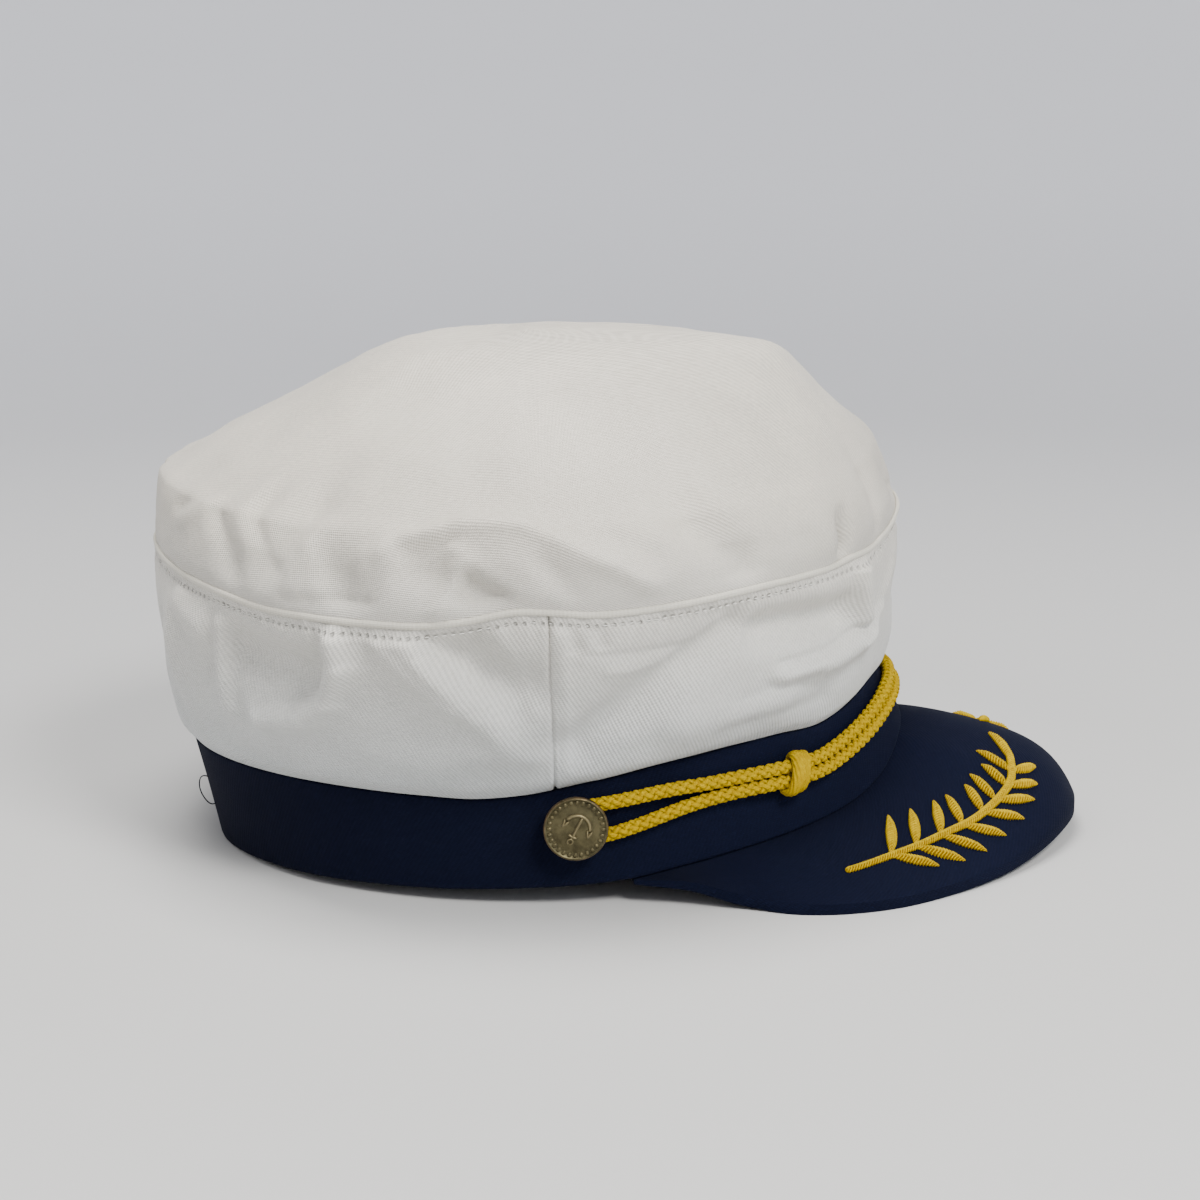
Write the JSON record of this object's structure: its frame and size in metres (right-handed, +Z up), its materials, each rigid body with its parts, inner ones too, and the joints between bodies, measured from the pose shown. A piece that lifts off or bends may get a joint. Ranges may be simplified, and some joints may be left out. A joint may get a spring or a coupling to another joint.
{
  "type": "captain hat",
  "caption": "Soft white cloth hat with a round crown, dark band, curved peak with raised laurel sprigs, a braided cord with slide knots and a button at each side.",
  "frame": {"origin": "on the surface that the hat lies on, below the middle of its bounding box", "axes": "+X forward over the peak, +Y to the wearer's left, +Z up; the hat lies tipped back on the rear of its rim and on the side edges of its peak"},
  "size_m": [0.2698, 0.22, 0.1458],
  "materials": {
    "white_twill": "white cotton twill with a slight satin sheen",
    "navy_twill": "very dark navy cotton twill, matte",
    "yellow_cord": "yellow braided cord",
    "gold_thread": "golden yellow satin-stitched thread",
    "antique_brass": "dull antique brass"
  },
  "bodies": {
    "root": {"hat_band": "navy_twill", "side_panel_front": "white_twill", "side_panel_back": "white_twill", "crown_top": "white_twill", "peak": "navy_twill", "laurel_right": "gold_thread", "laurel_left": "gold_thread", "cord": "yellow_cord", "cord_knot_right": "yellow_cord", "cord_knot_left": "yellow_cord", "button_right": "antique_brass", "button_left": "antique_brass"}
  },
  "joints": []
}
